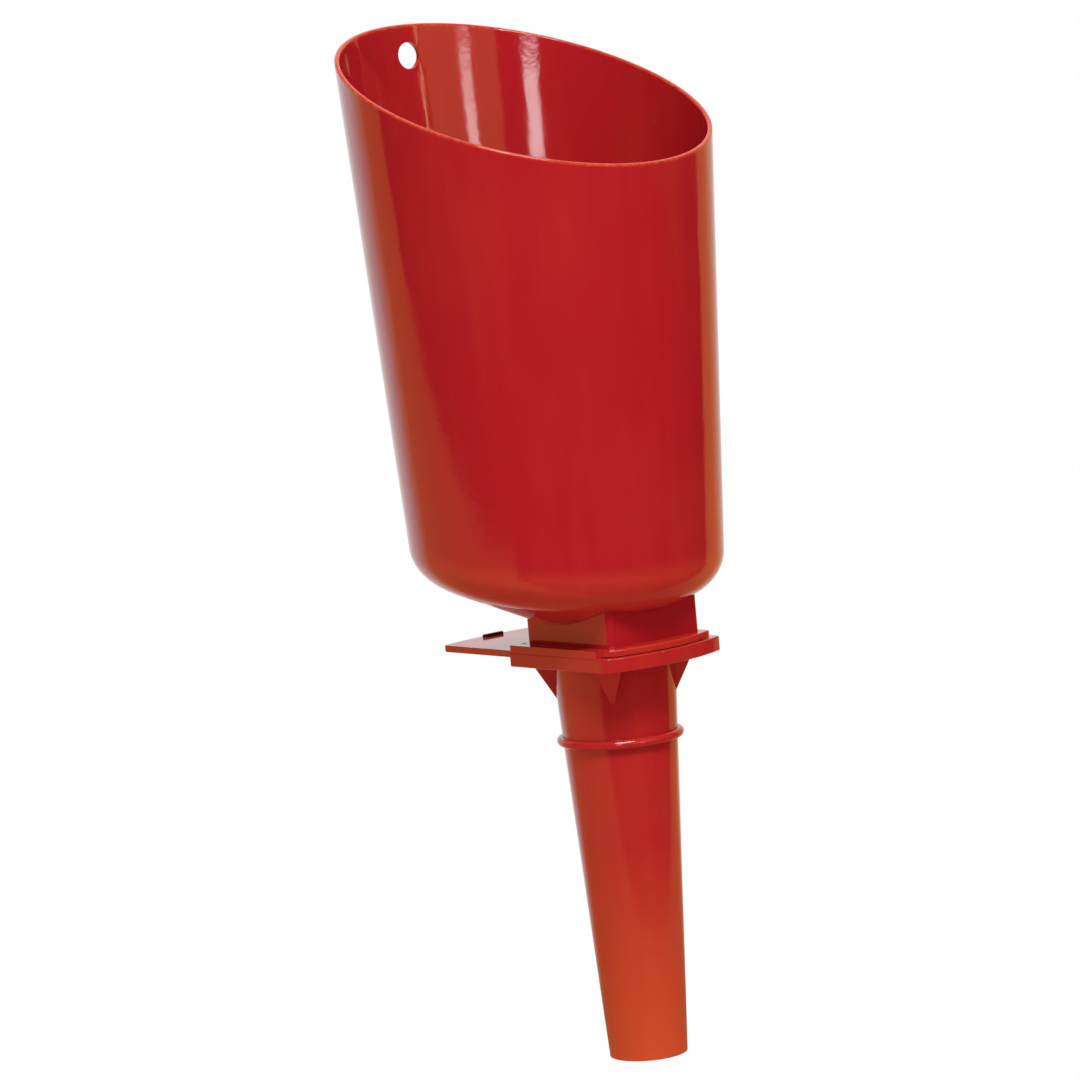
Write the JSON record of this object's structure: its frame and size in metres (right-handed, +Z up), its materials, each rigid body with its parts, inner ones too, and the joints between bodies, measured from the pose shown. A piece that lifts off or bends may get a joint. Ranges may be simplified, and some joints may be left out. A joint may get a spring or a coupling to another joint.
{
  "type": "scoop funnel with slide gate",
  "caption": "Moulded scoop with a slanted mouth and hanging hole, a flat slide gate under its square neck, and a tapered funnel spout that slides on below.",
  "frame": {"origin": "centre of the spout's open tip", "axes": "+Z up along the spout's axis to the cup, +X towards the high side of the slanted mouth, the way the gate is pulled, +Y to its left"},
  "size_m": [0.1082, 0.1082, 0.3072],
  "materials": {
    "scoop_plastic": "glossy injection-moulded polyethylene or polypropylene, red",
    "gate_plastic": "glossy moulded plastic, red",
    "spout_plastic": "glossy moulded plastic, red, slightly more orange towards the thin tip"
  },
  "bodies": {
    "scoop": {"scoop": "scoop_plastic"},
    "spout": {"spout": "spout_plastic"},
    "gate": {"gate": "gate_plastic"}
  },
  "joints": [
    {"name": "spout_slide", "type": "slide", "parent": "scoop", "child": "spout", "axis": [1, 0, 0], "range_m": [0, 0.036]},
    {"name": "gate_slide", "type": "slide", "parent": "spout", "child": "gate", "axis": [1, 0, 0], "range_m": [0, 0.036]}
  ]
}
